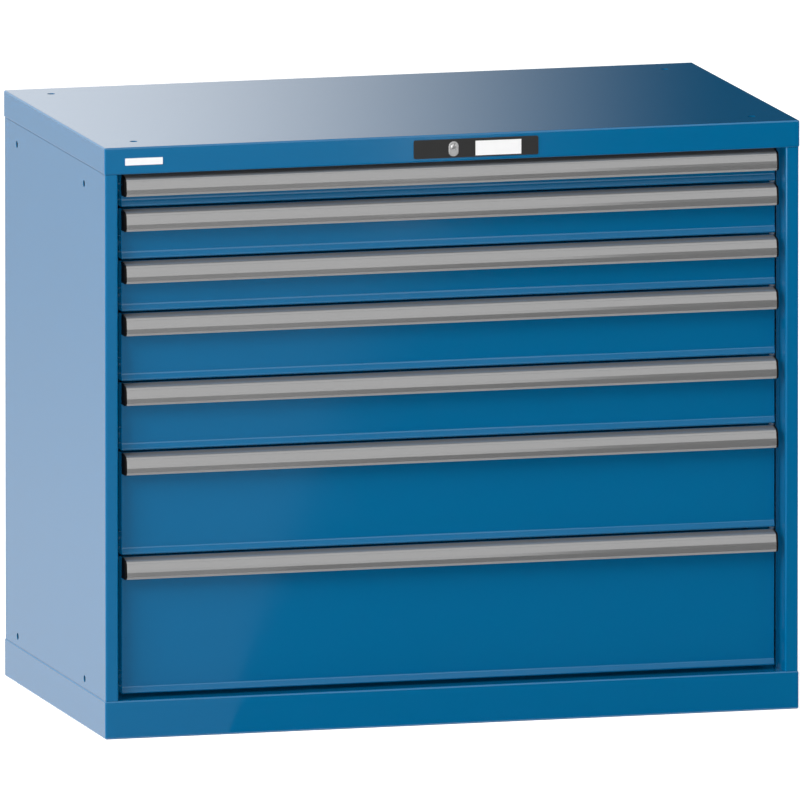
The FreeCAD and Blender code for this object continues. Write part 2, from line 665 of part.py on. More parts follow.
def lock_link():
    """Flat link: an upright slot for the crank pin, a bar, and a slanted slot that lifts the bar."""
    wall = PIN_ROOM + LINK_WALL
    pin_x = LOCK_X + CRANK_X
    pin_low = LOCK_Z - CRANK_RADIUS
    pin_high = LOCK_Z + CRANK_Z
    head = along_y(rectangle(pin_x - wall, pin_x + wall, min(pin_low - wall, LINK_BOTTOM),
                             pin_high + wall, LINK_WALL / 2), LINK_FRONT, LINK_BACK)
    tie = block(pin_x, BAR_PIN_X, LINK_FRONT, LINK_BACK, LINK_BOTTOM, LINK_TOP)
    tail = along_y(rectangle(BAR_PIN_X - LOCK_TRAVEL - wall, BAR_PIN_X + wall, BAR_PIN_Z - wall,
                             BAR_PIN_Z + LOCK_TRAVEL + wall, LINK_WALL / 2), LINK_FRONT, LINK_BACK)
    upright_slot = pin_slot(pin_x, pin_low, pin_x, pin_high)
    slanted_slot = pin_slot(BAR_PIN_X, BAR_PIN_Z, BAR_PIN_X - LOCK_TRAVEL, BAR_PIN_Z + LOCK_TRAVEL)
    return joined([head, tie, tail]).cut(upright_slot).cut(slanted_slot)


def pin_slot(x0, z0, x1, z1):
    """Slot through the link for a pin that moves between two places."""
    start = V(x0, z0, 0)
    stop = V(x1, z1, 0)
    aside = (stop - start).normalize().cross(V(0, 0, 1)) * PIN_ROOM
    corners = [start + aside, stop + aside, stop - aside, start - aside]
    d0 = LINK_FRONT - OVERRUN
    d1 = LINK_BACK + OVERRUN
    channel = along_y([(p.x, p.y) for p in corners], d0, d1)
    return joined([channel, rod_y(x0, d0, d1, z0, PIN_ROOM), rod_y(x1, d0, d1, z1, PIN_ROOM)])


def finger_bottom(line):
    """Lower edge of the bar's finger for the drawer on a pitch line, with the lock open."""
    return line + DRAWER_RAIL_FLOOR + FINGER_GAP


def lock_bar(lines):
    """Upright bar with a finger below each drawer's catch and a pin in the link's slanted slot."""
    bar = block(BAR_IN, BAR_OUT, BAR_FRONT, BAR_BACK,
                BOTTOM_LINE + BAR_FOOT_GAP, BAR_PIN_Z + BAR_TOP_MARGIN)
    tip = DRAWER_WEB + CATCH_LENGTH - CATCH_LAP
    fingers = [block(tip, BAR_IN, BAR_FRONT, BAR_BACK, finger_bottom(line),
                     finger_bottom(line) + FINGER_HEIGHT) for line in lines]
    pin = rod_y(BAR_PIN_X, LINK_FRONT - LOCK_PIN_END, BAR_FRONT, BAR_PIN_Z, LOCK_PIN_RADIUS)
    return joined([bar, pin] + fingers)


def bar_guide(line):
    """Block behind the right-hand post's lip, with a hole that the bar slides in."""
    low = line + RAIL_LIFT + RAIL_HEIGHT + GUIDE_ABOVE_RAIL
    high = low + GUIDE_HEIGHT
    back = BAR_BACK + GUIDE_PLAY + GUIDE_WALL
    foot_start = FRONT_HALF + GUIDE_FRONT_GAP
    foot = block(foot_start, CABINET_WEB, POST_DEPTH, back, low, high)
    keeper = block(BAR_IN - GUIDE_PLAY - GUIDE_SIDE_WALL, foot_start,
                   BAR_FRONT - GUIDE_PLAY - GUIDE_WALL, back, low, high)
    hole = block(BAR_IN - GUIDE_PLAY, BAR_OUT + GUIDE_PLAY, BAR_FRONT - GUIDE_PLAY,
                 BAR_BACK + GUIDE_PLAY, low - OVERRUN, high + OVERRUN)
    return joined([foot, keeper]).cut(hole)


def link_hanger(x):
    """Strap that hangs from the cover and loops under the link."""
    x0 = x - HANGER_WIDTH / 2
    x1 = x + HANGER_WIDTH / 2
    front = LINK_FRONT - HANGER_PLAY
    back = LINK_BACK + HANGER_PLAY
    low = LINK_BOTTOM - HANGER_PLAY
    high = LINK_TOP + HANGER_PLAY
    loop = block(x0, x1, front - HANGER_SHEET, back + HANGER_SHEET,
                 low - HANGER_SHEET, high + HANGER_SHEET)
    window = block(x0 - OVERRUN, x1 + OVERRUN, front, back, low, high)
    strap = block(x0, x1, back, back + HANGER_SHEET, low, COVER_INSIDE)
    flange = block(x0, x1, back - HANGER_FLANGE, back + HANGER_SHEET,
                   COVER_INSIDE - HANGER_SHEET, COVER_INSIDE)
    return joined([loop.cut(window), strap, flange])


def drawer_lines():
    """Lower and upper pitch line of each drawer, from the top drawer down."""
    top = COVER_BOTTOM - TOP_GAP
    lines = []
    for count in PITCH_COUNTS:
        bottom = top - SLOT_PITCH * count
        lines.append((bottom, top))
        top = bottom
    return lines


def save(name, shapes):
    """Writes one node; a node of several solids is a group of them."""
    shape = shapes[0] if len(shapes) == 1 else Part.makeCompound(shapes)
    shape.exportStep("parts/" + name + ".step")


def save_pair(name, shapes):
    """Writes the right-hand pieces and their left-hand copies as two nodes."""
    save("right_" + name, shapes)
    save("left_" + name, [mirrored(shape) for shape in shapes])


def save_both_sides(name, shape):
    """Writes a right-hand piece and its left-hand copy as one node."""
    save(name, [shape, mirrored(shape)])


def main():
    os.makedirs("parts", exist_ok=True)
    lines = drawer_lines()
    bottoms = [bottom for bottom, top in lines]
    save("top_cover", [top_cover()])
    save("base_plinth", [base_plinth()])
    save("back_panel", [back_panel()])
    save_pair("side_panel", [side_panel()])
    save_pair("uprights", uprights())
    save_pair("cabinet_rails", [shape for line in bottoms for shape in cabinet_rail(line)])
    save("lock_escutcheon", [lock_escutcheon()])
    save("label_card", [label_card()])
    save("badge_plate", [badge_plate()])
    save("lock_body", [lock_body()])
    save("lock_cylinder", [lock_cylinder()])
    save("lock_cam", lock_cam())
    save("lock_link", [lock_link()])
    save("lock_bar", [lock_bar(bottoms)])
    guided = (bottoms[0], bottoms[len(bottoms) // 2], bottoms[-1])
    guides = [bar_guide(line) for line in guided]
    save("lock_guides", guides + [link_hanger(LOCK_X + x) for x in HANGER_PLACES])
    for number, (bottom, top) in enumerate(lines, start=1):
        drawer = "drawer_" + str(number) + "_"
        axle_z = bottom + AXLE_LIFT
        save(drawer + "tray", drawer_tray(bottom, top))
        save(drawer + "front", [drawer_front(bottom, top)])
        save(drawer + "handle", [handle(top)])
        save_both_sides(drawer + "end_caps", end_cap(top))
        save_both_sides(drawer + "front_rollers", roller(*front_roller_place(), FRONT_AXLE, axle_z))
        save_both_sides(drawer + "rear_rollers", roller(*rear_roller_place(), REAR_AXLE, axle_z))


main()
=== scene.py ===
# %% [markdown]
# This lesson dresses a steel drawer cabinet. Its construction is already made: every sheet part,
# rail, roller and lock piece comes in at its real size, as a fixed frame. What is left is the look:
# powder coat, anodised aluminium, zinc, black plastic, and the details that a maker would notice.
# The frame is loaded first, and its box is kept, because nothing made here may reach out of it.

# %% Load the frame
import json
import math

import bmesh
import bpy
from mathutils import Matrix, Vector

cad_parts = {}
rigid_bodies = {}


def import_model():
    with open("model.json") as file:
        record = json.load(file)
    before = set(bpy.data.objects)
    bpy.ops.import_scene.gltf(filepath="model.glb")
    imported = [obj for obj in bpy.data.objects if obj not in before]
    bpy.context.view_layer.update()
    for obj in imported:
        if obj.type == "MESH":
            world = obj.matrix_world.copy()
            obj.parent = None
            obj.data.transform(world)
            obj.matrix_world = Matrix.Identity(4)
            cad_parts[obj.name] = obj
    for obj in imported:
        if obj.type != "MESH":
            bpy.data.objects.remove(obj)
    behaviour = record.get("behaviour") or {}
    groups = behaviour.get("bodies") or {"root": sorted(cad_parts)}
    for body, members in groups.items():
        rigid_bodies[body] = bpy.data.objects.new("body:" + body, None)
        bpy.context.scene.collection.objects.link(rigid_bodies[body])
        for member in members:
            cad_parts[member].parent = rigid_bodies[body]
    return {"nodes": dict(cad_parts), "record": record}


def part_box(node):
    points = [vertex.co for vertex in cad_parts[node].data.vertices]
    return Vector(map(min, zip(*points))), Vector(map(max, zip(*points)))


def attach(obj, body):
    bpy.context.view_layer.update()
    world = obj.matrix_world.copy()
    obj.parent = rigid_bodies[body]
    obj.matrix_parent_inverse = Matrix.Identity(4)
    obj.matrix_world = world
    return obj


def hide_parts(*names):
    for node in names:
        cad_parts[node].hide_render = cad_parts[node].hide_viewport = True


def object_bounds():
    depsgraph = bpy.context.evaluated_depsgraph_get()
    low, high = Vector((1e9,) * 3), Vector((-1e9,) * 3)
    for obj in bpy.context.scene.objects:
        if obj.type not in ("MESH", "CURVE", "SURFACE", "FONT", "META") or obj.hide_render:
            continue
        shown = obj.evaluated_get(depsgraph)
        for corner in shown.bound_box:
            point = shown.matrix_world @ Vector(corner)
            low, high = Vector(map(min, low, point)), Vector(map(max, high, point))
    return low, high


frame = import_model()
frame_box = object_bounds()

scene = bpy.context.scene
scene.view_settings.view_transform = "Standard"
DRAWERS = sum(1 for name in frame["nodes"] if name.endswith("_handle"))
LOW, HIGH = frame_box
print("frame:", len(frame["nodes"]), "nodes,", DRAWERS, "drawers, box", LOW, HIGH)

# %% [markdown]
# Materials come first. A shader effect that several finishes share is a node group with named
# sockets, so that each finish only sets its own values. The helpers below keep that short: one
# makes a group with its sockets, one makes a material with its Principled shader, and one adds a
# node with its settings.

# %% Helpers for shader nodes
OBJECT = "Object"


def add_node(tree, kind, settings=(), inputs=()):
    """A node with its settings and the unlinked values of its inputs."""
    node = tree.nodes.new(kind)
    for key, value in dict(settings).items():
        setattr(node, key, value)
    for key, value in dict(inputs).items():
        node.inputs[key].default_value = value
    return node


def shader_group(name, inputs, outputs):
    """An empty shader group; inputs are (name, type, value) and outputs (name, type)."""
    tree = bpy.data.node_groups.new(name, "ShaderNodeTree")
    for socket, kind, value in inputs:
        made = tree.interface.new_socket(socket, in_out="INPUT", socket_type="NodeSocket" + kind)
        made.default_value = value
    for socket, kind in outputs:
        tree.interface.new_socket(socket, in_out="OUTPUT", socket_type="NodeSocket" + kind)
    return tree, tree.nodes.new("NodeGroupInput"), tree.nodes.new("NodeGroupOutput")


def principled(name, **values):
    """A material with one Principled shader, whose plain values are set on its own sockets."""
    material = bpy.data.materials.new(name)
    material.use_nodes = True
    shader = material.node_tree.nodes["Principled BSDF"]
    for key, value in values.items():
        shader.inputs[key.replace("_", " ")].default_value = value
    return material, material.node_tree, shader


def use_group(tree, group, values):
    """Places a shared group in a material, with its own values, reading Object coordinates."""
    node = add_node(tree, "ShaderNodeGroup", {"node_tree": group}, values)
    place = tree.nodes.new("ShaderNodeTexCoord")
    tree.links.new(place.outputs[OBJECT], node.inputs["Place"])
    return node


def bump_from(tree, height, shader, depth):
    """A Bump node that turns a height into the shader's normal."""
    bump = add_node(tree, "ShaderNodeBump", inputs={"Strength": 1.0, "Distance": depth})
    tree.links.new(height, bump.inputs["Height"])
    tree.links.new(bump.outputs["Normal"], shader.inputs["Normal"])


# %% [markdown]
# Powder coat is sprayed on dry and melted in an oven, so it levels almost flat. What stays is a
# very fine orange peel, a little unevenness in gloss, and the faintest drift of colour. The group
# makes these three from noise at three sizes and is used for the blue housing and the grey trays.

# %% Group for powder coat
def powder_coat_group():
    tree, given, made = shader_group(
        "powder coat",
        [("Place", "Vector", (0, 0, 0)), ("Color", "Color", (0.5, 0.5, 0.5, 1)),
         ("Roughness", "Float", 0.3), ("Drift", "Float", 0.04), ("Peel Size", "Float", 700.0)],
        [("Color", "Color"), ("Roughness", "Float"), ("Height", "Float")])
    link = tree.links.new
    drift = add_node(tree, "ShaderNodeTexNoise", inputs={"Scale": 6.0, "Detail": 2.0})
    cloud = add_node(tree, "ShaderNodeTexNoise", inputs={"Scale": 45.0, "Detail": 4.0})
    peel = add_node(tree, "ShaderNodeTexNoise", inputs={"Detail": 2.0, "Roughness": 0.4})
    for noise in (drift, cloud, peel):
        link(given.outputs["Place"], noise.inputs["Vector"])
    link(given.outputs["Peel Size"], peel.inputs["Scale"])
    centred = add_node(tree, "ShaderNodeMath", {"operation": "SUBTRACT"}, {1: 0.5})
    link(drift.outputs["Fac"], centred.inputs[0])
    scaled = add_node(tree, "ShaderNodeMath", {"operation": "MULTIPLY_ADD"}, {2: 1.0})
    link(centred.outputs[0], scaled.inputs[0])
    link(given.outputs["Drift"], scaled.inputs[1])
    tint = add_node(tree, "ShaderNodeHueSaturation")
    link(given.outputs["Color"], tint.inputs["Color"])
    link(scaled.outputs[0], tint.inputs["Value"])
    link(tint.outputs["Color"], made.inputs["Color"])
    uneven = add_node(tree, "ShaderNodeMath", {"operation": "MULTIPLY_ADD"}, {1: 0.06, 2: -0.03})
    link(cloud.outputs["Fac"], uneven.inputs[0])
    rough = add_node(tree, "ShaderNodeMath", {"operation": "ADD"})
    link(uneven.outputs[0], rough.inputs[0])
    link(given.outputs["Roughness"], rough.inputs[1])
    link(rough.outputs[0], made.inputs["Roughness"])
    link(peel.outputs["Fac"], made.inputs["Height"])
    return tree


POWDER_COAT = powder_coat_group()

# %% [markdown]
# Metals that are drawn, ground or pressed show a grain that runs one way. One group serves all of
# them: noise that is stretched along one axis, with its own grain size and strength.

# %% Group for drawn metal
def drawn_metal_group():
    tree, given, made = shader_group(
        "drawn metal",
        [("Place", "Vector", (0, 0, 0)), ("Stretch", "Vector", (1, 1, 1)),
         ("Color", "Color", (0.7, 0.7, 0.7, 1)), ("Roughness", "Float", 0.3),
         ("Contrast", "Float", 0.06)],
        [("Color", "Color"), ("Roughness", "Float"), ("Height", "Float")])
    link = tree.links.new
    stretched = add_node(tree, "ShaderNodeVectorMath", {"operation": "MULTIPLY"})
    link(given.outputs["Place"], stretched.inputs[0])
    link(given.outputs["Stretch"], stretched.inputs[1])
    grain = add_node(tree, "ShaderNodeTexNoise", inputs={"Scale": 1.0, "Detail": 3.0})
    link(stretched.outputs[0], grain.inputs["Vector"])
    centred = add_node(tree, "ShaderNodeMath", {"operation": "SUBTRACT"}, {1: 0.5})
    link(grain.outputs["Fac"], centred.inputs[0])
    amount = add_node(tree, "ShaderNodeMath", {"operation": "MULTIPLY"})
    link(centred.outputs[0], amount.inputs[0])
    link(given.outputs["Contrast"], amount.inputs[1])
    value = add_node(tree, "ShaderNodeMath", {"operation": "ADD"}, {1: 1.0})
    link(amount.outputs[0], value.inputs[0])
    tint = add_node(tree, "ShaderNodeHueSaturation")
    link(given.outputs["Color"], tint.inputs["Color"])
    link(value.outputs[0], tint.inputs["Value"])
    link(tint.outputs["Color"], made.inputs["Color"])
    rough = add_node(tree, "ShaderNodeMath", {"operation": "ADD"})
    link(amount.outputs[0], rough.inputs[0])
    link(given.outputs["Roughness"], rough.inputs[1])
    link(rough.outputs[0], made.inputs["Roughness"])
    link(grain.outputs["Fac"], made.inputs["Height"])
    return tree


DRAWN_METAL = drawn_metal_group()

# %% [markdown]
# Moulded plastic and card have no direction. Their group is a fine pebble from a Voronoi texture,
# which stands for the etched texture of a mould or for the fibres of pressed board.

# %% Group for pebbled surfaces
def pebble_group():
    tree, given, made = shader_group(
        "pebble",
        [("Place", "Vector", (0, 0, 0)), ("Color", "Color", (0.5, 0.5, 0.5, 1)),
         ("Pebble Size", "Float", 1500.0), ("Contrast", "Float", 0.1),
         ("Roughness", "Float", 0.5)],
        [("Color", "Color"), ("Roughness", "Float"), ("Height", "Float")])
    link = tree.links.new
    cells = add_node(tree, "ShaderNodeTexVoronoi", {"feature": "SMOOTH_F1"})
    soft = add_node(tree, "ShaderNodeTexNoise", inputs={"Scale": 60.0, "Detail": 3.0})
    link(given.outputs["Place"], cells.inputs["Vector"])
    link(given.outputs["Place"], soft.inputs["Vector"])
    link(given.outputs["Pebble Size"], cells.inputs["Scale"])
    centred = add_node(tree, "ShaderNodeMath", {"operation": "SUBTRACT"}, {1: 0.5})
    link(soft.outputs["Fac"], centred.inputs[0])
    value = add_node(tree, "ShaderNodeMath", {"operation": "MULTIPLY_ADD"}, {2: 1.0})
    link(centred.outputs[0], value.inputs[0])
    link(given.outputs["Contrast"], value.inputs[1])
    tint = add_node(tree, "ShaderNodeHueSaturation")
    link(given.outputs["Color"], tint.inputs["Color"])
    link(value.outputs[0], tint.inputs["Value"])
    link(tint.outputs["Color"], made.inputs["Color"])
    rough = add_node(tree, "ShaderNodeMath", {"operation": "MULTIPLY"})
    link(value.outputs[0], rough.inputs[0])
    link(given.outputs["Roughness"], rough.inputs[1])
    link(rough.outputs[0], made.inputs["Roughness"])
    link(cells.outputs["Distance"], made.inputs["Height"])
    return tree


PEBBLE = pebble_group()

# %% [markdown]
# Each finish is now one short recipe: a Principled shader, a shared group with this finish's own
# values, and a shallow bump. Colours are written as the real surface's own colour, in linear light.

# %% Finishes
def finished(tree, shader, group, depth):
    """Links a shared group's colour, roughness and height to the shader."""
    tree.links.new(group.outputs["Color"], shader.inputs["Base Color"])
    tree.links.new(group.outputs["Roughness"], shader.inputs["Roughness"])
    bump_from(tree, group.outputs["Height"], shader, depth)


def coated(name, color, roughness, drift, depth):
    material, tree, shader = principled(name, IOR=1.7)
    group = use_group(tree, POWDER_COAT, {"Color": (*color, 1), "Roughness": roughness,
                                          "Drift": drift})
    finished(tree, shader, group, depth)
    return material


def drawn(name, color, metal, roughness, stretch, contrast, depth):
    material, tree, shader = principled(name, Metallic=metal)
    group = use_group(tree, DRAWN_METAL, {"Color": (*color, 1), "Roughness": roughness,
                                          "Stretch": stretch, "Contrast": contrast})
    finished(tree, shader, group, depth)
    return material


def pebbled(name, color, roughness, size, contrast, depth, specular=0.5):
    material, tree, shader = principled(name, IOR=1.46, Specular_IOR_Level=specular)
    group = use_group(tree, PEBBLE, {"Color": (*color, 1), "Roughness": roughness,
                                     "Pebble Size": size, "Contrast": contrast})
    finished(tree, shader, group, depth)
    return material


ALONG_X = (12.0, 2200.0, 2200.0)
ALL_WAYS = (300.0, 300.0, 300.0)

FINISHES = {
    "blue_paint": coated("blue powder coat", (0.0, 0.122, 0.283), 0.10, 0.03, 0.000004),
    "grey_paint": coated("grey powder coat", (0.42, 0.44, 0.45), 0.35, 0.04, 0.00002),
    "zinc": drawn("zinc plate", (0.55, 0.56, 0.57), 1.0, 0.38, ALL_WAYS, 0.25, 0.00001),
    "aluminium": drawn("anodised aluminium", (0.335, 0.335, 0.335), 0.56, 0.10, ALONG_X, 0.03,
                       0.0000002),
    "black_plastic": pebbled("black plastic", (0.004, 0.004, 0.004), 0.5, 1800.0, 0.2, 0.00003,
                             0.1),
    "card": pebbled("white card", (0.82, 0.82, 0.82), 0.7, 900.0, 0.03, 0.00001),
    "badge": pebbled("white plate", (0.8, 0.8, 0.82), 0.45, 1500.0, 0.03, 0.00001),
    "lock_metal": drawn("nickel plate", (0.66, 0.66, 0.66), 0.7, 0.12, ALL_WAYS, 0.05, 0.000001),
    "roller": pebbled("nylon", (0.75, 0.75, 0.7), 0.4, 1200.0, 0.05, 0.00001),
}
print("finishes:", ", ".join(sorted(FINISHES)))

# %% [markdown]
# A piece of the frame whose shape is right only needs its finish. The record says which finish each
# node has, so one loop gives every node its material. The lock's plate is a shade lighter than the
# end caps, so it gets a finish of its own.

# %% Finishes on the frame's pieces
for subpart in frame["record"]["subparts"]:
    node = frame["nodes"][subpart["node"]]
    node.data.materials.clear()
    node.data.materials.append(FINISHES[subpart["material_slot"]])
lock_plate = pebbled("lock plate", (0.024, 0.024, 0.024), 0.5, 1500.0, 0.1, 0.00002, 0.3)
frame["nodes"]["lock_escutcheon"].data.materials[0] = lock_plate
print("finished", len(frame["nodes"]), "nodes")

# %% [markdown]
# Some pieces deserve a better shape than a construction needs. A piece made here keeps its place in
# its own vertices, rides on the body that its construction node rides on, and takes its place.

# %% Helpers for pieces
RECORD_SLOT = {part["node"]: part["material_slot"] for part in frame["record"]["subparts"]}
BODY_OF = {node: body for body, nodes in frame["record"]["behaviour"]["bodies"].items()
           for node in nodes}
MERGE = 0.000001


def piece(name, mesh, node):
    """An object that stands for a construction node, with its body, slot and finish."""
    made = bpy.data.objects.new(name, mesh)
    scene.collection.objects.link(made)
    mesh.materials.clear()
    mesh.materials.append(FINISHES[RECORD_SLOT[node]])
    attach(made, BODY_OF[node])
    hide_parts(node)
    return made


def smooth(mesh, degrees):
    """Smooth shading, except over edges that are sharper than an angle."""
    mesh.shade_smooth()
    mesh.set_sharp_from_angle(angle=math.radians(degrees))


def node_mesh(node):
    """A copy of a construction node's mesh, with its loose triangles welded together."""
    grid = bmesh.new()
    grid.from_mesh(frame["nodes"][node].data)
    bmesh.ops.remove_doubles(grid, verts=grid.verts, dist=MERGE)
    return grid


def islands(grid):
    """The separate shells of a welded mesh, each as a set of vertices."""
    left = set(grid.verts)
    while left:
        shell = set()
        edge = {left.pop()}
        while edge:
            shell |= edge
            edge = {other for vert in edge for link in vert.link_edges
                    for other in link.verts} - shell
        left -= shell
        yield shell


# %% [markdown]
# The handle is a strip that was pushed through a die: a roof that slopes down to a round shoulder,
# a face with a faint crease, a band that stands upright and a lip that turns back for the fingers.
# Its section is a path of corners with radii, and the second skin follows it at a constant
# thickness. The corners get radii that a die would have, so that each edge catches its own light.

# %% Handles
MM = 0.001
STRIP_THICKNESS = 1.8
LEAST_RADIUS = 0.3
STRIP_PATH = [(18.6, 29.7, 0.0), (21.2, 26.2, 0.35), (21.2, 19.9, 0.35), (20.7, 16.0, 0.5),
              (18.0, 4.0, 7.0), (0.0, 0.0, 0.4), (0.0, 20.0, 0.0)]
ARC_STEPS = 10


def second_skin(path, thickness):
    """The corners of a path that runs beside another, on its right."""
    points = [Vector(corner[:2]) for corner in path]
    runs = [(b - a).normalized() for a, b in zip(points, points[1:])]
    made = []
    for here, corner, before, after in zip(points, path, runs[:1] + runs, runs + runs[-1:]):
        sides = [Vector((run.y, -run.x)) for run in (before, after)]
        reach = (sides[0] + sides[1]) * (thickness / (1 + sides[0].dot(sides[1])))
        turn = before.x * after.y - before.y * after.x
        radius = corner[2] + thickness if turn > 0 else max(corner[2] - thickness, LEAST_RADIUS)
        made.append((*(here + reach), radius if corner[2] else 0.0))
    return made


def rounded(corners):
    """Points of a closed outline, whose corners (u, v, radius) become arcs."""
    made = []
    for i, (u, v, radius) in enumerate(corners):
        here = Vector((u, v))
        back = (Vector(corners[i - 1][:2]) - here).normalized()
        ahead = (Vector(corners[(i + 1) % len(corners)][:2]) - here).normalized()
        if not radius:
            made.append(here)
            continue
        half_angle = back.angle(ahead) / 2
        middle = here + (back + ahead).normalized() * (radius / math.sin(half_angle))
        start = (here + back * (radius / math.tan(half_angle)) - middle).normalized()
        stop = (here + ahead * (radius / math.tan(half_angle)) - middle).normalized()
        for step in range(ARC_STEPS + 1):
            made.append(middle + start.slerp(stop, step / ARC_STEPS) * radius)
    return made


def strip_mesh(name, low, high):
    """The handle's section pushed along X between a box's ends, against the box's back and top."""
    outline = rounded(STRIP_PATH + second_skin(STRIP_PATH, STRIP_THICKNESS)[::-1])
    grid = bmesh.new()
    ends = [[grid.verts.new((x, high.y - p.x * MM, high.z - p.y * MM)) for p in outline]
            for x in (low.x, high.x)]
    grid.faces.new(ends[0])
    grid.faces.new(ends[1][::-1])
    for i in range(len(outline)):
        grid.faces.new((ends[0][i - 1], ends[1][i - 1], ends[1][i], ends[0][i]))
    bmesh.ops.recalc_face_normals(grid, faces=grid.faces)
    mesh = bpy.data.meshes.new(name)
    grid.to_mesh(mesh)
    grid.free()
    smooth(mesh, degrees=25)
    return mesh


for number in range(1, DRAWERS + 1):
    node = "drawer_%d_handle" % number
    piece("handle_strip_%d" % number, strip_mesh(node, *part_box(node)), node)
print("handles:", DRAWERS, "sections of", len(rounded(STRIP_PATH)), "points on the outer skin")

# %% [markdown]
# Drawers of this kind have walls with rows of slots, into which dividers hook. The slots are cut by
# a Geometry Nodes group: rows of thin blocks along the four walls, taken out of the welded tray in
# one cut. The group's inputs are named, and each drawer gives it its own heights.

# %% Group that cuts slots
def slot_group():
    tree = bpy.data.node_groups.new("slotted walls", "GeometryNodeTree")
    socket = tree.interface.new_socket
    socket("Geometry", in_out="INPUT", socket_type="NodeSocketGeometry")
    for name in ("Half Width", "Front", "Back", "Low", "High", "Pitch", "Slot Width", "Wall"):
        socket(name, in_out="INPUT", socket_type="NodeSocketFloat")
    socket("Finish", in_out="INPUT", socket_type="NodeSocketMaterial")
    socket("Geometry", in_out="OUTPUT", socket_type="NodeSocketGeometry")
    link = tree.links.new
    given = tree.nodes.new("NodeGroupInput")
    made = tree.nodes.new("NodeGroupOutput")

    def fed(node, values):
        """A node's output, once its inputs have these numbers and links."""
        for i, value in enumerate(values):
            if isinstance(value, (int, float)):
                node.inputs[i].default_value = value
            else:
                link(value, node.inputs[i])
        return node.outputs[0]

    def math_node(operation, *values):
        return fed(add_node(tree, "ShaderNodeMath", {"operation": operation}), values)

    def vector(x, y, z):
        return fed(tree.nodes.new("ShaderNodeCombineXYZ"), (x, y, z))

    half, front, back = (given.outputs[name] for name in ("Half Width", "Front", "Back"))
    pitch, width, wall = (given.outputs[name] for name in ("Pitch", "Slot Width", "Wall"))
    height = math_node("SUBTRACT", given.outputs["High"], given.outputs["Low"])
    both_ends = math_node("ADD", given.outputs["High"], given.outputs["Low"])
    middle = math_node("MULTIPLY", both_ends, 0.5)

    def row(start, count, offset, size):
        line = tree.nodes.new("GeometryNodeMeshLine")
        link(count, line.inputs["Count"])
        link(start, line.inputs["Start Location"])
        link(offset, line.inputs["Offset"])
        cutter = tree.nodes.new("GeometryNodeMeshCube")
        link(size, cutter.inputs["Size"])
        placed = tree.nodes.new("GeometryNodeInstanceOnPoints")
        link(line.outputs["Mesh"], placed.inputs["Points"])
        link(cutter.outputs["Mesh"], placed.inputs["Instance"])
        return placed.outputs["Instances"]

    all_rows = tree.nodes.new("GeometryNodeJoinGeometry")
    depth = math_node("SUBTRACT", back, front)

    def slots_along(length):
        """How many slots a wall of this length has."""
        return math_node("SUBTRACT", math_node("FLOOR", math_node("DIVIDE", length, pitch)), 1)

    def row_length(count):
        """The way from the first slot of a row to its last."""
        return math_node("MULTIPLY", math_node("SUBTRACT", count, 1), pitch)

    deep = slots_along(depth)
    wide = slots_along(math_node("MULTIPLY", half, 2))
    spare = math_node("SUBTRACT", depth, row_length(deep))
    first_y = math_node("ADD", front, math_node("MULTIPLY", spare, 0.5))
    first_x = math_node("MULTIPLY", row_length(wide), -0.5)
    for side in (half, math_node("MULTIPLY", half, -1)):
        link(row(vector(side, first_y, middle), deep, vector(0, pitch, 0),
                 vector(wall, width, height)), all_rows.inputs[0])
    for end in (front, back):
        link(row(vector(first_x, end, middle), wide, vector(pitch, 0, 0),
                 vector(width, wall, height)), all_rows.inputs[0])
    real_rows = tree.nodes.new("GeometryNodeRealizeInstances")
    link(all_rows.outputs[0], real_rows.inputs[0])
    cut = add_node(tree, "GeometryNodeMeshBoolean", {"operation": "DIFFERENCE", "solver": "EXACT"})
    link(given.outputs["Geometry"], cut.inputs["Mesh 1"])
    link(real_rows.outputs[0], cut.inputs["Mesh 2"])
    real = tree.nodes.new("GeometryNodeRealizeInstances")
    link(cut.outputs["Mesh"], real.inputs[0])
    finish = tree.nodes.new("GeometryNodeSetMaterial")
    link(real.outputs[0], finish.inputs["Geometry"])
    link(given.outputs["Finish"], finish.inputs["Material"])
    link(finish.outputs[0], made.inputs[0])
    return tree


SLOTTED_WALLS = slot_group()


def grown(name, mesh, group, values):
    """The plain mesh that a Geometry Nodes group makes of a mesh, with its inputs set by name."""
    holder = bpy.data.objects.new(name, mesh)
    scene.collection.objects.link(holder)
    modifier = holder.modifiers.new(name, "NODES")
    modifier.node_group = group
    for item in group.interface.items_tree:
        if item.in_out == "INPUT" and item.name in values:
            modifier[item.identifier] = values[item.name]
    bpy.context.view_layer.update()
    finished_holder = holder.evaluated_get(bpy.context.evaluated_depsgraph_get())
    made = bpy.data.meshes.new_from_object(finished_holder)
    bpy.data.objects.remove(holder)
    return made


print("slot group:", len(SLOTTED_WALLS.nodes), "nodes")

# %% [markdown]
# A tray's node holds the folded tray and its two rails. Only the tray, which is the shell with the
# widest box, goes through the group. The rails are joined to it again as they were, so that they
# stay exactly where the rollers need them.

# %% Trays with slots
WALL = 1.0 * MM
HEM = WALL
SLOT_PITCH = 17.0 * MM
SLOT_WIDTH = 3.0 * MM
SLOT_FOOT = 9.0 * MM
SLOT_HEAD = 9.5 * MM
THROUGH = 1.04


def shell_width(shell):
    places = [vert.co.x for vert in shell]
    return max(places) - min(places)


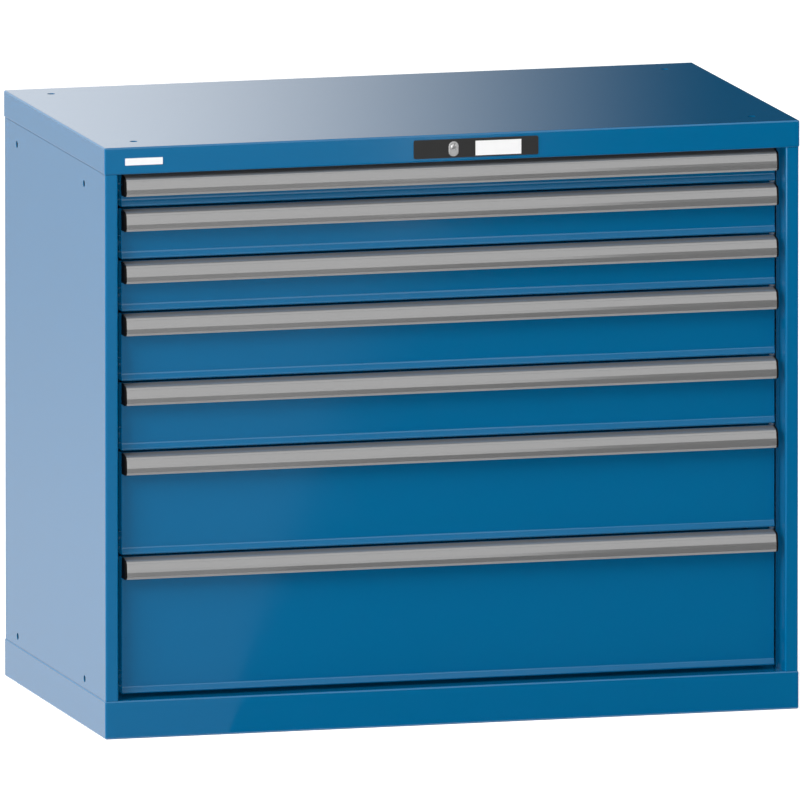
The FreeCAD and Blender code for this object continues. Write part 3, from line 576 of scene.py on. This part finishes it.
for number in range(1, DRAWERS + 1):
    node = "drawer_%d_tray" % number
    grid = node_mesh(node)
    rails = node_mesh(node)
    walls = max(islands(grid), key=shell_width)
    of_walls = {v.index for v in walls}
    low = Vector([min(v.co[i] for v in walls) for i in range(3)])
    high = Vector([max(v.co[i] for v in walls) for i in range(3)])
    bmesh.ops.delete(grid, geom=[v for v in grid.verts if v not in walls], context="VERTS")
    bmesh.ops.delete(rails, geom=[v for v in rails.verts if v.index in of_walls], context="VERTS")
    mesh = bpy.data.meshes.new(node)
    grid.to_mesh(mesh)
    cut = grown(node, mesh, SLOTTED_WALLS, {
        "Half Width": (high.x - low.x) / 2 - HEM - WALL / 2,
        "Front": low.y + WALL / 2, "Back": high.y - HEM - WALL / 2,
        "Low": low.z + SLOT_FOOT, "High": high.z - SLOT_HEAD, "Pitch": SLOT_PITCH,
        "Slot Width": SLOT_WIDTH, "Wall": WALL * THROUGH, "Finish": FINISHES["grey_paint"]})
    rails.from_mesh(cut)
    rails.to_mesh(cut)
    smooth(cut, degrees=30)
    piece("slotted_tray_%d" % number, cut, node)
    rails.free()
    grid.free()
    print(node, len(cut.polygons), "faces")

# %% [markdown]
# The back is never seen in a shop's picture, but it is in a workshop. Flat rivets hold the side
# panels' rear flanges to the back panel, in two rows. A rivet is a low cone with its pin's end in
# the middle, and the shares below are parts of its radius and height.

# %% Rivets on the back
RIVET_COUNT = 7
RIVET_FROM_SIDE = 10.3 * MM
RIVET_FROM_END = 30 * MM
RIVET_RADIUS = 3.4 * MM
RIVET_HEIGHT = 0.5 * MM
TOP_SHARE = 0.72
PIN_SHARE = 0.3
PIN_LIFT = 0.58


def rivet_group():
    tree = bpy.data.node_groups.new("rivet rows", "GeometryNodeTree")
    socket = tree.interface.new_socket
    socket("Geometry", in_out="INPUT", socket_type="NodeSocketGeometry")
    for name in ("Side", "Face", "Low", "Pitch", "Radius", "Height"):
        socket(name, in_out="INPUT", socket_type="NodeSocketFloat")
    socket("Count", in_out="INPUT", socket_type="NodeSocketInt")
    socket("Finish", in_out="INPUT", socket_type="NodeSocketMaterial")
    socket("Geometry", in_out="OUTPUT", socket_type="NodeSocketGeometry")
    link = tree.links.new
    given = tree.nodes.new("NodeGroupInput")
    made = tree.nodes.new("NodeGroupOutput")
    heads = tree.nodes.new("GeometryNodeJoinGeometry")
    rim = add_node(tree, "GeometryNodeMeshCone", inputs={"Vertices": 32})
    narrow = add_node(tree, "ShaderNodeMath", {"operation": "MULTIPLY"}, {1: TOP_SHARE})
    link(given.outputs["Radius"], narrow.inputs[0])
    link(narrow.outputs[0], rim.inputs["Radius Top"])
    link(given.outputs["Radius"], rim.inputs["Radius Bottom"])
    link(given.outputs["Height"], rim.inputs["Depth"])
    pin = add_node(tree, "GeometryNodeMeshCylinder", inputs={"Vertices": 20})
    core = add_node(tree, "ShaderNodeMath", {"operation": "MULTIPLY"}, {1: PIN_SHARE})
    link(given.outputs["Radius"], core.inputs[0])
    link(core.outputs[0], pin.inputs["Radius"])
    link(given.outputs["Height"], pin.inputs["Depth"])
    upwards = tree.nodes.new("ShaderNodeCombineXYZ")
    shift = add_node(tree, "ShaderNodeMath", {"operation": "MULTIPLY"}, {1: PIN_LIFT})
    link(given.outputs["Height"], shift.inputs[0])
    link(shift.outputs[0], upwards.inputs[2])
    lifted = tree.nodes.new("GeometryNodeTransform")
    link(pin.outputs["Mesh"], lifted.inputs["Geometry"])
    link(upwards.outputs[0], lifted.inputs["Translation"])
    link(rim.outputs["Mesh"], heads.inputs[0])
    link(lifted.outputs[0], heads.inputs[0])
    rows = tree.nodes.new("GeometryNodeJoinGeometry")
    for sign in (-1.0, 1.0):
        side = add_node(tree, "ShaderNodeMath", {"operation": "MULTIPLY"}, {1: sign})
        link(given.outputs["Side"], side.inputs[0])
        start = tree.nodes.new("ShaderNodeCombineXYZ")
        link(side.outputs[0], start.inputs[0])
        link(given.outputs["Face"], start.inputs[1])
        link(given.outputs["Low"], start.inputs[2])
        step = tree.nodes.new("ShaderNodeCombineXYZ")
        link(given.outputs["Pitch"], step.inputs[2])
        line = tree.nodes.new("GeometryNodeMeshLine")
        link(given.outputs["Count"], line.inputs["Count"])
        link(start.outputs[0], line.inputs["Start Location"])
        link(step.outputs[0], line.inputs["Offset"])
        link(line.outputs["Mesh"], rows.inputs[0])
    placed = add_node(tree, "GeometryNodeInstanceOnPoints",
                      inputs={"Rotation": (-math.pi / 2, 0, 0)})
    link(rows.outputs[0], placed.inputs["Points"])
    link(heads.outputs[0], placed.inputs["Instance"])
    real = tree.nodes.new("GeometryNodeRealizeInstances")
    link(placed.outputs[0], real.inputs[0])
    finish = tree.nodes.new("GeometryNodeSetMaterial")
    link(real.outputs[0], finish.inputs["Geometry"])
    link(given.outputs["Finish"], finish.inputs["Material"])
    link(finish.outputs[0], made.inputs[0])
    return tree


wall_low, wall_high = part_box("right_side_panel")
heads = grown("rivets", bpy.data.meshes.new("rivets"), rivet_group(), {
    "Side": wall_high.x - RIVET_FROM_SIDE, "Face": wall_high.y,
    "Low": wall_low.z + RIVET_FROM_END,
    "Pitch": (wall_high.z - wall_low.z - 2 * RIVET_FROM_END) / (RIVET_COUNT - 1),
    "Radius": RIVET_RADIUS, "Height": RIVET_HEIGHT,
    "Count": RIVET_COUNT, "Finish": FINISHES["zinc"]})
smooth(heads, degrees=30)
rivets = bpy.data.objects.new("rivets", heads)
scene.collection.objects.link(rivets)
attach(rivets, BODY_OF["right_side_panel"])
print("rivets:", len(heads.polygons), "faces")

# %% [markdown]
# The lock's plug stands at a slight turn, as in the picture, with the keyhole leaning. Its face is
# a low dome, so that it catches the light on one side. The dome is cut out of the plug itself, and
# only its middle reaches the face of the lock's case.

# %% Lock plug
KEYHOLE_LEAN = math.radians(22)
DOME_DEPTH = 1.6 * MM
DOME_RINGS = 10
DOME_SIDES = 96
DOME_REACH = 1.05


def dome(low, high):
    """A closed turned body around the plug's axis, a little larger than it, with a domed front."""
    x, z = (low.x + high.x) / 2, (low.z + high.z) / 2
    wide = (high.x - low.x) / 2
    ball = (wide ** 2 + DOME_DEPTH ** 2) / (2 * DOME_DEPTH)
    reach = DOME_REACH * wide
    radii = [reach * ring / DOME_RINGS for ring in range(1, DOME_RINGS + 1)]
    profile = [(radius, low.y + ball - math.sqrt(ball ** 2 - radius ** 2)) for radius in radii]
    profile.append((reach, high.y + MM))
    points = [(x, low.y, z), (x, high.y + MM, z)]
    faces = []
    for ring, (radius, y) in enumerate(profile):
        for k in range(DOME_SIDES):
            turn = 2 * math.pi * k / DOME_SIDES
            points.append((x + radius * math.cos(turn), y, z + radius * math.sin(turn)))
            here = 2 + ring * DOME_SIDES
            after = (k + 1) % DOME_SIDES
            if ring == 0:
                faces.append((0, here + after, here + k))
            else:
                inner = here - DOME_SIDES
                faces.append((inner + k, inner + after, here + after, here + k))
            if ring == len(profile) - 1:
                faces.append((1, here + k, here + after))
    mesh = bpy.data.meshes.new("dome")
    mesh.from_pydata(points, [], faces)
    return mesh


low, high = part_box("lock_cylinder")
axis = Vector(((low.x + high.x) / 2, 0, (low.z + high.z) / 2))
grid = node_mesh("lock_cylinder")
bmesh.ops.rotate(grid, verts=grid.verts, cent=axis, matrix=Matrix.Rotation(KEYHOLE_LEAN, 3, "Y"))
plug_mesh = bpy.data.meshes.new("plug")
grid.to_mesh(plug_mesh)
grid.free()
plug = bpy.data.objects.new("plug", plug_mesh)
cutter = bpy.data.objects.new("dome", dome(low, high))
scene.collection.objects.link(plug)
scene.collection.objects.link(cutter)
overlap = plug.modifiers.new("domed", "BOOLEAN")
overlap.operation = "INTERSECT"
overlap.solver = "EXACT"
overlap.object = cutter
domed = plug.evaluated_get(bpy.context.evaluated_depsgraph_get())
mesh = bpy.data.meshes.new_from_object(domed)
plug.modifiers.remove(overlap)
bpy.data.objects.remove(plug)
bpy.data.objects.remove(cutter)
smooth(mesh, degrees=30)
piece("lock_plug", mesh, "lock_cylinder")
print("lock plug:", len(mesh.polygons), "faces")

# %% [markdown]
# The stage is a pale floor, soft lamps and a camera. The camera stands far away with a very long
# lens, because the picture that this cabinet was measured from is almost a parallel view.

# %% Camera
AIM = Vector((-0.0013, 0.0, 0.4237))
CAMERA_SIDE = math.radians(15.08)
CAMERA_RISE = math.radians(9.10)
PICTURE_WIDTH = 1.1434
SENSOR = 36.0
LENS = 1700.0

towards = Vector((-math.sin(CAMERA_SIDE) * math.cos(CAMERA_RISE),
                  -math.cos(CAMERA_SIDE) * math.cos(CAMERA_RISE), math.sin(CAMERA_RISE)))
distance = PICTURE_WIDTH * LENS / SENSOR
camera = bpy.data.objects.new("camera", bpy.data.cameras.new("camera"))
scene.collection.objects.link(camera)
camera.data.sensor_width = SENSOR
camera.data.lens = LENS
camera.data.clip_end = 2 * distance
camera.location = AIM + towards * distance
camera.rotation_mode = "QUATERNION"
camera.rotation_quaternion = (-towards).to_track_quat("-Z", "Y")
scene.camera = camera
print("camera at", camera.location, "distance", distance)

# %% [markdown]
# A white background is not made with more light. The floor and the world answer camera rays with
# plain white, and mirror-like rays too, so that metal reflects the white room that it stands in.

# %% Floor and world
FLOOR_SIZE = 60.0
FLOOR_LIFT = 0.6
AMBIENT = 0.55


def plane(name, corners):
    """One face through its corners, as an object of the stage."""
    mesh = bpy.data.meshes.new(name)
    mesh.from_pydata([tuple(c) for c in corners], [], [tuple(range(len(corners)))])
    made = bpy.data.objects.new(name, mesh)
    scene.collection.objects.link(made)
    return made


def seen_rays(tree):
    """One for camera, glossy and transmission rays, and nought for the light that falls."""
    rays = tree.nodes.new("ShaderNodeLightPath")
    first = add_node(tree, "ShaderNodeMath", {"operation": "MAXIMUM"})
    both = add_node(tree, "ShaderNodeMath", {"operation": "MAXIMUM"})
    tree.links.new(rays.outputs["Is Camera Ray"], first.inputs[0])
    tree.links.new(rays.outputs["Is Glossy Ray"], first.inputs[1])
    tree.links.new(first.outputs[0], both.inputs[0])
    tree.links.new(rays.outputs["Is Transmission Ray"], both.inputs[1])
    return both.outputs[0]


half = FLOOR_SIZE / 2
floor = plane("floor", [(-half, -half, 0), (half, -half, 0), (half, half, 0), (-half, half, 0)])
paper = bpy.data.materials.new("pale floor")
paper.use_nodes = True
tree = paper.node_tree
tree.nodes.remove(tree.nodes["Principled BSDF"])
matt = add_node(tree, "ShaderNodeBsdfDiffuse", inputs={"Color": (0.8, 0.8, 0.8, 1)})
glow = add_node(tree, "ShaderNodeEmission")
lift = add_node(tree, "ShaderNodeMath", {"operation": "MULTIPLY"}, {1: FLOOR_LIFT})
tree.links.new(seen_rays(tree), lift.inputs[0])
tree.links.new(lift.outputs[0], glow.inputs["Strength"])
summed = tree.nodes.new("ShaderNodeAddShader")
tree.links.new(matt.outputs[0], summed.inputs[0])
tree.links.new(glow.outputs[0], summed.inputs[1])
tree.links.new(summed.outputs[0], tree.nodes["Material Output"].inputs["Surface"])
floor.data.materials.append(paper)

world = bpy.data.worlds.new("room")
world.use_nodes = True
scene.world = world
tree = world.node_tree
room = tree.nodes["Background"]
room.inputs["Color"].default_value = (1, 1, 1, 1)
level = add_node(tree, "ShaderNodeMath", {"operation": "MULTIPLY_ADD"},
                 {1: 1 - AMBIENT, 2: AMBIENT})
tree.links.new(seen_rays(tree), level.inputs[0])
tree.links.new(level.outputs[0], room.inputs["Strength"])

# %% [markdown]
# Two soft boxes stand at the front left, higher than the cabinet. They give the left side more
# light than the front, and the front more than the top. One of them throws no shadow: it carries
# light into the narrow gaps, as the many reflections in a white room do. Light linking keeps it off
# the trays and runners, which would glow through the gaps otherwise. A level is the brightness that
# a white surface facing the lamp would have.

# %% Soft boxes
LAMP_DISTANCE = 12.0
LAMP_SIZE = 6.0


def soft_box(name, side, rise, level, shadow):
    """A square lamp that faces the cabinet; side is degrees to the left, rise degrees up."""
    side, rise = math.radians(side), math.radians(rise)
    way = Vector((-math.sin(side) * math.cos(rise), -math.cos(side) * math.cos(rise),
                  math.sin(rise)))
    lamp = bpy.data.lights.new(name, "AREA")
    lamp.shape = "SQUARE"
    lamp.size = LAMP_SIZE
    lamp.energy = level * (math.pi * LAMP_DISTANCE) ** 2
    lamp.use_shadow = shadow
    made = bpy.data.objects.new(name, lamp)
    scene.collection.objects.link(made)
    made.location = AIM + way * LAMP_DISTANCE
    made.rotation_mode = "QUATERNION"
    made.rotation_quaternion = way.to_track_quat("Z", "Y")
    made.visible_camera = False
    made.visible_glossy = False
    print(name, "at", made.location, "power", round(lamp.energy), "W")
    return made


soft_box("key", side=60, rise=32, level=0.72, shadow=True)
gap_fill = soft_box("gap fill", side=60, rise=14, level=0.40, shadow=False)
HELD_INSIDE = ("tray", "rail", "upright", "roller")
inside = bpy.data.collections.new("inside of the cabinet")
for made in scene.objects:
    if made.type == "MESH" and any(word in made.name for word in HELD_INSIDE):
        inside.objects.link(made)
for held in inside.collection_objects:
    held.light_linking.link_state = "EXCLUDE"
gap_fill.light_linking.receiver_collection = inside

# %% [markdown]
# Reflections are steered as a photographer does, with cards that only mirror-like rays see. A card
# has one level, or fades along an axis. Some cards would be mirrored where they aren't wanted, so
# they can be clear from their back, or to rays that meet them at a flat angle.

# %% Cards for reflections
def card(name, corners, levels, fade=None, clear=None):
    """A card seen only in reflections. It has one level, or fades along an axis between places.
    It may be clear from its back, or to rays that meet it at a flat angle."""
    made = plane(name, corners)
    made.visible_camera = False
    made.visible_diffuse = False
    made.visible_transmission = False
    made.visible_volume_scatter = False
    made.visible_shadow = False
    material = bpy.data.materials.new(name)
    material.use_nodes = True
    tree = material.node_tree
    tree.nodes.remove(tree.nodes["Principled BSDF"])
    glow = add_node(tree, "ShaderNodeEmission", inputs={"Strength": levels[0]})
    if fade:
        axis, start, stop = fade
        place = tree.nodes.new("ShaderNodeTexCoord")
        split = tree.nodes.new("ShaderNodeSeparateXYZ")
        tree.links.new(place.outputs[OBJECT], split.inputs[0])
        ramp = add_node(tree, "ShaderNodeMapRange", {"interpolation_type": "SMOOTHSTEP"},
                        inputs={"From Min": start, "From Max": stop,
                                "To Min": levels[0], "To Max": levels[1]})
        tree.links.new(split.outputs[axis], ramp.inputs["Value"])
        tree.links.new(ramp.outputs["Result"], glow.inputs["Strength"])
    surface = glow
    if clear:
        surface = tree.nodes.new("ShaderNodeMixShader")
        through = tree.nodes.new("ShaderNodeBsdfTransparent")
        tree.links.new(glow.outputs[0], surface.inputs[1])
        tree.links.new(through.outputs[0], surface.inputs[2])
        if clear == "back":
            way = tree.nodes.new("ShaderNodeNewGeometry")
            tree.links.new(way.outputs["Backfacing"], surface.inputs[0])
        else:
            way = add_node(tree, "ShaderNodeLayerWeight", inputs={"Blend": 0.5})
            flat = add_node(tree, "ShaderNodeMath", {"operation": "GREATER_THAN"}, {1: 0.5})
            tree.links.new(way.outputs["Facing"], flat.inputs[0])
            tree.links.new(flat.outputs[0], surface.inputs[0])
    tree.links.new(surface.outputs[0], tree.nodes["Material Output"].inputs["Surface"])
    made.data.materials.append(material)
    return made


def lying(z, left, right, near, far):
    """Corners of a card that lies flat."""
    return [(left, near, z), (right, near, z), (right, far, z), (left, far, z)]


def standing(y, left, right, low, high):
    """Corners of a card that stands upright, along X."""
    return [(left, y, low), (right, y, low), (right, y, high), (left, y, high)]


# %% [markdown]
# The drawer fronts are upright and the camera looks down on them, so they mirror what lies on the
# floor: a dim card to the left and a black one to the right, with a slanted edge between them. Far
# in front, two upright cards carry that edge on.

# %% Cards in front
FRONT = LOW.y
LEFT = LOW.x
ABOVE_FLOOR = 0.002
FAR_FRONT = -4.3
BLACK_FRONT = FAR_FRONT - 0.01
SIDEWAYS = 7.0
DIM = 0.18
BLACK = 0.0
EDGE_NEAR = -0.33
EDGE_FAR = 1.00
DIM_TOP = 0.47
EDGE_AT_DIM_TOP = 1.07
BEND = 0.4
EDGE_AT_BEND = 1.20
BLACK_TOP = 1.28
EDGE_AT_BLACK_TOP = 1.37

card("dim card", [(-SIDEWAYS, FRONT, ABOVE_FLOOR), (EDGE_NEAR, FRONT, ABOVE_FLOOR),
                  (EDGE_FAR, FAR_FRONT, ABOVE_FLOOR), (-SIDEWAYS, FAR_FRONT, ABOVE_FLOOR)],
     (DIM,))
card("black card", [(EDGE_NEAR, FRONT, ABOVE_FLOOR), (SIDEWAYS, FRONT, ABOVE_FLOOR),
                    (SIDEWAYS, FAR_FRONT, ABOVE_FLOOR), (EDGE_FAR, FAR_FRONT, ABOVE_FLOOR)],
     (BLACK,))
card("low dim card", [(-SIDEWAYS, FAR_FRONT, 0), (EDGE_FAR, FAR_FRONT, 0),
                      (EDGE_AT_DIM_TOP, FAR_FRONT, DIM_TOP), (-SIDEWAYS, FAR_FRONT, DIM_TOP)],
     (DIM,))
card("upright black card", [(EDGE_FAR, BLACK_FRONT, 0), (SIDEWAYS, BLACK_FRONT, 0),
                            (SIDEWAYS, BLACK_FRONT, BLACK_TOP),
                            (EDGE_AT_BLACK_TOP, BLACK_FRONT, BLACK_TOP),
                            (EDGE_AT_BEND, BLACK_FRONT, BEND)],
     (BLACK,))
print("floor edge from", EDGE_NEAR, "to", EDGE_FAR)

# %% [markdown]
# The other cards serve one thing each. The far card darkens the flared edges of the fronts, which
# look further up. The glint card lights one side of the lock's dome and is clear from its back. The
# lip card lights the handles' lips from below, and it is clear to flat rays, because the lowest
# drawer would mirror it. The side card is for the left side, and the fading card behind the cabinet
# gives the top its fall from light to dark.

# %% Cards for single pieces
GLINT_SIDE = -0.26
GLINT_LEVEL = 2.4
LIP_LEVEL = 0.8
SIDE_LEVELS = (1.04, 0.82)
TOP_LEVELS = (1.27, 0.02)

card("far card", standing(y=-20.0, left=-25.0, right=25.0, low=10.5, high=12.4), (DIM,))
card("glint card", [(GLINT_SIDE, -1.0, 0.55), (GLINT_SIDE, -0.42, 0.55),
                    (GLINT_SIDE, -0.42, 1.0), (GLINT_SIDE, -1.0, 1.0)],
     (GLINT_LEVEL,), clear="back")
card("lip card", lying(z=0.06, left=-0.6, right=0.9, near=FRONT - 0.005, far=FRONT - 0.16),
     (LIP_LEVEL,), clear="flat")
card("side card", lying(z=ABOVE_FLOOR, left=-SIDEWAYS, right=LEFT, near=FRONT, far=8),
     SIDE_LEVELS, fade=("Y", 0.3, 5.0))
card("fading card", standing(y=3.0, left=-4, right=5, low=0.9, high=8),
     TOP_LEVELS, fade=("X", 0.17, 1.34))
